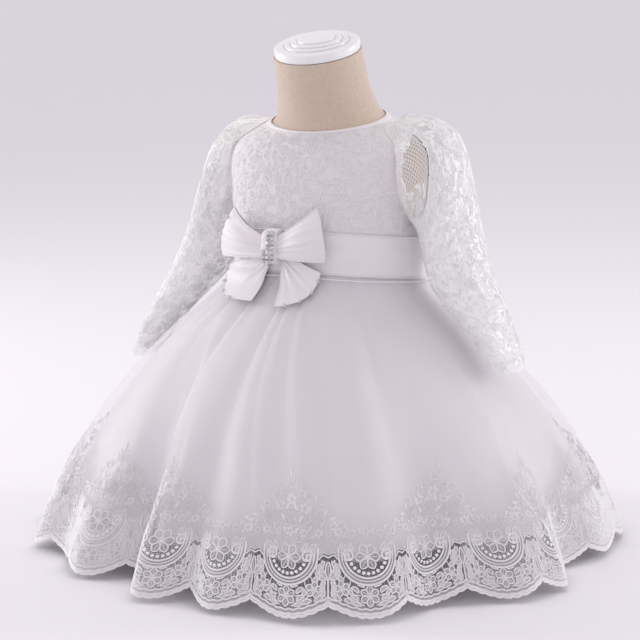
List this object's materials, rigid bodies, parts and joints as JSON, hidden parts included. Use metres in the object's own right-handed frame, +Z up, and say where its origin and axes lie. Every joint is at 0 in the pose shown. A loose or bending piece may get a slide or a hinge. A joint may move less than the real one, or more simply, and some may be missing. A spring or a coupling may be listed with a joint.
{
  "type": "christening gown on limbless baby dress form",
  "caption": "Long-sleeved christening gown with satin waistband and bow, full gathered skirt and scalloped lace hem, standing on a limbless dress form with a round base.",
  "frame": {"origin": "centre of the base plate's underside, on the floor", "axes": "+Z up, the wearer faces -Y, the wearer's left is +X"},
  "size_m": [0.5794, 0.6068, 0.5036],
  "materials": {
    "linen": "plain woven linen cover",
    "cap_enamel": "glossy white",
    "steel": "brushed",
    "bodice_lace": "corded lace over an opaque white ground",
    "sleeve_lace": "sheer lace on net",
    "satin": "soft satin",
    "tulle": "sheer fine net",
    "border_lace": "embroidered lace on net",
    "stones": "small square cut stones on satin"
  },
  "bodies": {
    "root": {"form_torso": "linen", "form_neck_cap": "cap_enamel", "form_pole": "steel", "form_base": "steel", "bodice_front": "bodice_lace", "bodice_back_left": "bodice_lace", "bodice_back_right": "bodice_lace", "waistband_front": "satin", "waistband_back": "satin", "sleeve_left": "sleeve_lace", "sleeve_right": "sleeve_lace", "underskirt_front": "satin", "underskirt_back": "satin", "overskirt_front": "tulle", "overskirt_back_left": "tulle", "overskirt_back_right": "tulle", "lace_border_front": "border_lace", "lace_border_back_left": "border_lace", "lace_border_back_right": "border_lace", "bow_loop_left": "satin", "bow_loop_right": "satin", "bow_tail_left": "satin", "bow_tail_right": "satin", "bow_knot": "stones"}
  },
  "joints": []
}
